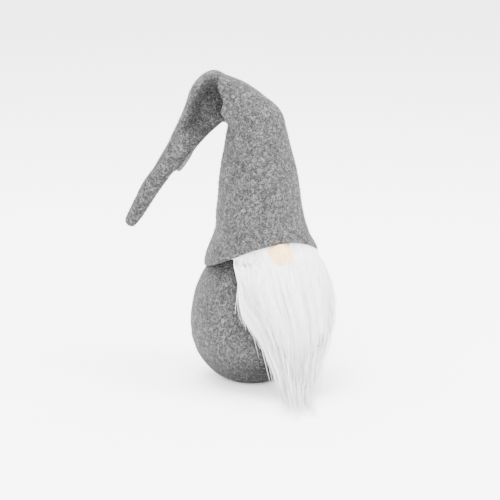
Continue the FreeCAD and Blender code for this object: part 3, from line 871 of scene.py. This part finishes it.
def nose():
    """The turned bead, with its bore upright and its bore's edges eased."""
    centre, radius, bore, ease_edge = BEAD, BEAD_RADIUS * MM, 1.5 * MM, 0.5 * MM
    outline = []
    start = math.asin((bore + ease_edge) / radius)
    for angle in np.linspace(start, math.pi - start, 34):
        outline.append((radius * math.sin(angle), radius * math.cos(angle)))
    outline.append((bore, -radius * math.cos(start) + ease_edge))
    outline.append((bore, radius * math.cos(start) - ease_edge))
    around = 56
    vertices = []
    for reach, height in outline:
        for step in range(around):
            angle = 2 * math.pi * step / around
            vertices.append(centre + Vector((
                reach * math.cos(angle), reach * math.sin(angle), height)))
    rows = len(outline)
    faces = ring_faces(rows, around)
    for step in range(around):
        after = (step + 1) % around
        faces.append(((rows - 1) * around + step, (rows - 1) * around + after, after, step))
    bead = add_object("wooden_nose", vertices, faces, bead_wood)
    subdivide(bead, 1)
    keep_rest(bead)
    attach(bead, "root")
    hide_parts("nose_bead")
    return bead


def back_limit(height):
    """How near the axis the beard may come: the sack, and below the belly a slanting line."""
    below = BELLY_RADIUS + BACK_SLANT * (BELLY_HEIGHT - height)
    return np.where(height > BELLY_HEIGHT, sack_radius(height), below)


def beard_point(across, height, inset):
    """A point of the beard in millimetres: across from -1 to 1, inset from its outer surface."""
    cx, cy, half_x, half_y = (smooth(BEARD_SHAPE, column)(height) for column in range(1, 5))
    angle = across * SIDE_TURN
    x = cx + (half_x - 0.6 * inset) * np.sin(angle)
    y = cy - (half_y - inset) * np.cos(angle)
    skin = back_limit(height) + SACK_CLEARANCE
    radius = np.hypot(x, y)
    push = np.maximum(skin / np.maximum(radius, 1e-6), 1.0)
    bead = BEAD.x / MM, BEAD.z / MM - BEAD_RADIUS
    side = np.exp(-((x - bead[0] + PARTING_SHIFT) / PARTING_WIDTH) ** 4)
    parting = PARTING_DEPTH * side * ease(height, bead[1] - 7, bead[1] + 3)
    y = np.minimum(y * push + parting, np.minimum(y * push, -skin))
    return np.stack([x * push, y, np.broadcast_to(height, x.shape)], axis=-1)


def strand_paths(across, row, length, lay, rng):
    """The paths of hairs, strands x points x 3, in millimetres."""
    count = len(across)
    brim = brim_at(beard_point(across, np.full(count, 100.0), 0.0)[..., 1])
    root = brim + 5.0 - row * (brim + 5.0 - PATCH_BOTTOM)
    inset_room = 9.0
    share = np.linspace(0, 1, STRAND_POINTS)[None, :]
    run = share * (length + 5.0 * (1 - row))[:, None]
    drop = np.minimum(run * 0.985, (root - lay)[:, None])
    height = root[:, None] - drop
    forward = np.maximum(run - drop - 1.5, 0)
    out = ease(run, 0, 12) * ease(brim[:, None] - height, -1, 6)
    deep = (0.02 + 0.9 * row)[:, None] * inset_room
    rooted = np.maximum(deep + 2.5, 3.4)
    inset = rooted + (deep - rooted) * out
    sway = across[:, None] + 0.03 * np.sin(2.2 * share + rng.uniform(0, 6.3, (count, 1)))
    path = beard_point(sway, height, inset)
    path[..., 0] += forward * (GROUND_WAY.x + 0.12 * across[:, None])
    path[..., 1] += forward * GROUND_WAY.y
    return path


def loose_strands(rng):
    """Hairs that have left the locks: over the felt on one side, and long ones at the tip."""
    side = np.concatenate([rng.uniform(-1.12, -0.42, 330), rng.uniform(0.8, 1.1, 180)])
    tip = rng.uniform(-0.4, 0.55, 170)
    across = np.concatenate([side, tip])
    count = len(across)
    row = np.where(np.arange(count) < len(side), rng.uniform(0, 0.9, count), 0.05)
    length = np.concatenate([
        rng.uniform(35, 108, len(side)), rng.uniform(BEARD_LENGTH, 1.22 * BEARD_LENGTH, len(tip))])
    paths = strand_paths(across, row, length, rng.uniform(0.5, 3, count), rng)
    share = np.linspace(0, 1, STRAND_POINTS)[None, :, None]
    paths += rng.normal(0, 2.2, (count, 1, 3)) * share ** 1.5
    paths[..., 2] = np.maximum(paths[..., 2], FLOOR_CLEARANCE)
    taper = np.linspace(1, 0.3, STRAND_POINTS)[None, :]
    radii = rng.uniform(0.12, 0.2, (count, 1)) * taper
    piece = tubes("beard_loose_hair", paths * MM, radii * MM, 3, fur_white, rng.random(count))
    lift_with_beard(piece)


def beard_strands():
    """Thousands of hairs in loose locks, in a few pieces."""
    rng = np.random.default_rng(SEED)

    def spread(count):
        across = rng.uniform(-1.09, 1.04, count)
        row = rng.beta(0.9, 1.3, count)
        side = np.abs(across)
        length = BEARD_LENGTH * rng.beta(4.2, 1.5, count) * (1.06 - 0.34 * side ** 2)
        across *= 1 - 0.14 * row
        lowest = RIGHT_CUT * ease(-across, 0.2, 0.58) * rng.uniform(0.75, 1.25, count)
        free = np.maximum(TOP_ROW_LENGTH - ROW_LOSS * row - lowest, SHORTEST_HAIR)
        capped = np.minimum(length, free)
        length = np.where(rng.random(count) < 0.93, capped, length)
        lay = rng.uniform(0.8, 3.4, count)
        return across, row, length, lay

    guide_across, guide_row, guide_length, guide_lay = spread(GUIDE_COUNT)
    guides = strand_paths(guide_across, guide_row, guide_length, guide_lay, rng)
    across, row, length, lay = spread(STRAND_COUNT)
    own = strand_paths(across, row, length, lay, rng)
    apart = (
        (across[:, None] - guide_across[None]) ** 2
        + 0.35 * (row[:, None] - guide_row[None]) ** 2
        + 0.000004 * (length[:, None] - guide_length[None]) ** 2
    )
    nearest = apart.argmin(1)
    share = np.linspace(0, 1, STRAND_POINTS)[None, :, None]
    pull = rng.uniform(0.35, 0.92, (STRAND_COUNT, 1, 1))
    pull = pull * ease(share, 0.05, 0.7) * (1 - 0.35 * ease(share, 0.8, 1))
    paths = own + (guides[nearest] - own) * pull
    wave = rng.uniform(0.1, 0.7, (STRAND_COUNT, 1, 1)) * share
    phase = rng.uniform(0, 6.3, (STRAND_COUNT, 1, 3))
    paths += wave * np.sin(rng.uniform(3, 9, (STRAND_COUNT, 1, 1)) * share + phase)
    rim = ease(-across, 0.75, 1.0)[:, None, None]
    paths = own + (paths - own) * (1 - 0.7 * rim)
    stray = (rng.random((STRAND_COUNT, 1, 1)) < 0.08) * rng.normal(0, 3.5, (STRAND_COUNT, 1, 3))
    paths += stray * share ** 2
    paths[..., 2] = np.maximum(paths[..., 2], FLOOR_CLEARANCE)
    thick = rng.uniform(0.13, 0.24, (STRAND_COUNT, 1))
    loose_strands(rng)
    taper = np.array([0.8, 1, 1, 1, 0.95, 0.9, 0.8, 0.65, 0.45, 0.15])[None, :]
    shades = rng.random(STRAND_COUNT)
    order = rng.permutation(STRAND_COUNT)
    for number in range(STRAND_PIECES):
        mine = order[number::STRAND_PIECES]
        piece = tubes(f"beard_hair_{number + 1}", paths[mine] * MM, (thick * taper)[mine] * MM, 3,
                      fur_white, shades[mine])
        lift_with_beard(piece)


def beard_mass():
    """The combed inner fur that the hairs lie on, closed behind against the body."""
    heights = np.concatenate([np.linspace(110, 20, 46), np.linspace(17.5, 1.2, 9)])
    outer, inner = 44, 20
    rings = []
    for height in heights:
        across = np.linspace(-1, 1, outer)
        edge = 0.79 - 0.55 * (1 - float(ease(height, 34, 80)))
        spread = 0.5 * (0.97 - edge) + 0.5 * (0.97 + edge) * across
        front = beard_point(spread, np.full(outer, height), np.full(outer, 3.6))
        front[:, 1] += 0.8 * np.sin(17 * across + 0.05 * height) * (0.4 + 0.6 * np.abs(across))
        ends = np.arctan2(front[[-1, 0], 0], -front[[-1, 0], 1])
        turn = np.linspace(ends[0], ends[1], inner + 2)[1:-1]
        skin = float(back_limit(height))
        room = np.hypot(front[[-1, 0], 0], front[[-1, 0], 1]).min()
        back_radius = min(skin + 0.9, room)
        back = np.stack([back_radius * np.sin(turn), -back_radius * np.cos(turn),
                         np.full(inner, height)], axis=-1)
        rings.append(np.concatenate([front, back]))
    around = outer + inner
    vertices = (np.concatenate(rings) * MM).tolist()
    faces = ring_faces(len(rings), around)
    faces.append(tuple(range(around))[::-1])
    faces.append(tuple((len(rings) - 1) * around + step for step in range(around)))
    mass = add_object("beard_inner_fur", vertices, faces, fur_mass)
    grid = bmesh.new()
    grid.from_mesh(mass.data)
    bmesh.ops.recalc_face_normals(grid, faces=grid.faces)
    grid.to_mesh(mass.data)
    grid.free()
    subdivide(mass, 1)
    keep_rest(mass)
    lift_with_beard(mass)
    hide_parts("beard_upper", "beard_fall")


def lift_with_beard(piece):
    """Bakes a piece of the beard's placement into its mesh."""
    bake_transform(piece)


# ------------------------------------------------------------------ studio

FLOOR_REACH = 6.0
WORLD_LIGHT = 4.2
LIGHT_AIM = Vector((0, 0, 0.11))
# Area lights: name, place, power in watts, and size.
LIGHTS = [
    ("key_light", (0.75, -0.75, 0.85), 40.0, 0.7),
    ("fill_light", (-0.95, -0.55, 0.6), 28.0, 0.9),
    ("top_light", (-0.1, 0.35, 1.15), 40.0, 0.9),
]
CAMERA_TURN = math.radians(-30)
CAMERA_RISE = math.radians(15)
CAMERA_DISTANCE = 1.4
CAMERA_AIM = Vector((-0.95, 0.55, 94.6)) * MM
SEEN_WIDTH = 0.36
SENSOR_WIDTH = 36.0


def studio():
    """A pale floor, and soft light from all round."""
    material, tree, principled = new_material("pale_floor")
    dust = noise_node(tree, rest_vector(tree, False), 3.0, 2.0)
    tree.links.new(ramp_node(tree, dust, [(0.3, (0.93,) * 3), (0.7, (0.95,) * 3)]),
                   principled.inputs["Base Color"])
    principled.inputs["Roughness"].default_value = 0.9
    reach = FLOOR_REACH
    floor = add_object("floor", [(-reach, -reach, 0), (reach, -reach, 0), (reach, reach, 0),
                                 (-reach, reach, 0)], [(0, 1, 2, 3)], material)
    world = bpy.data.worlds.new("studio")
    world.use_nodes = True
    bpy.context.scene.world = world
    world.node_tree.nodes["Background"].inputs["Color"].default_value = (1, 1, 1, 1)
    world.node_tree.nodes["Background"].inputs["Strength"].default_value = WORLD_LIGHT
    for name, place, power, size in LIGHTS:
        data = bpy.data.lights.new(name, "AREA")
        data.energy = power
        data.size = size
        light = bpy.data.objects.new(name, data)
        bpy.context.scene.collection.objects.link(light)
        light.location = place
        light.rotation_euler = (LIGHT_AIM - Vector(place)).to_track_quat("-Z", "Y").to_euler()


def camera():
    """A long lens, from the figure's right front and a little above."""
    level = math.cos(CAMERA_RISE)
    away = Vector((math.sin(CAMERA_TURN) * level, -math.cos(CAMERA_TURN) * level,
                   math.sin(CAMERA_RISE)))
    data = bpy.data.cameras.new("camera")
    data.sensor_width = SENSOR_WIDTH
    data.lens = SENSOR_WIDTH * CAMERA_DISTANCE / SEEN_WIDTH
    data.clip_end = 50.0
    view = bpy.data.objects.new("camera", data)
    bpy.context.scene.collection.objects.link(view)
    view.location = CAMERA_AIM + CAMERA_DISTANCE * away
    view.rotation_euler = (-away).to_track_quat("-Z", "Y").to_euler()
    bpy.context.scene.camera = view


camera()
studio()
finish_cad_nodes()
body()
hat_cone()
tail_seam(hat_tail())
nose()
beard_mass()
beard_strands()
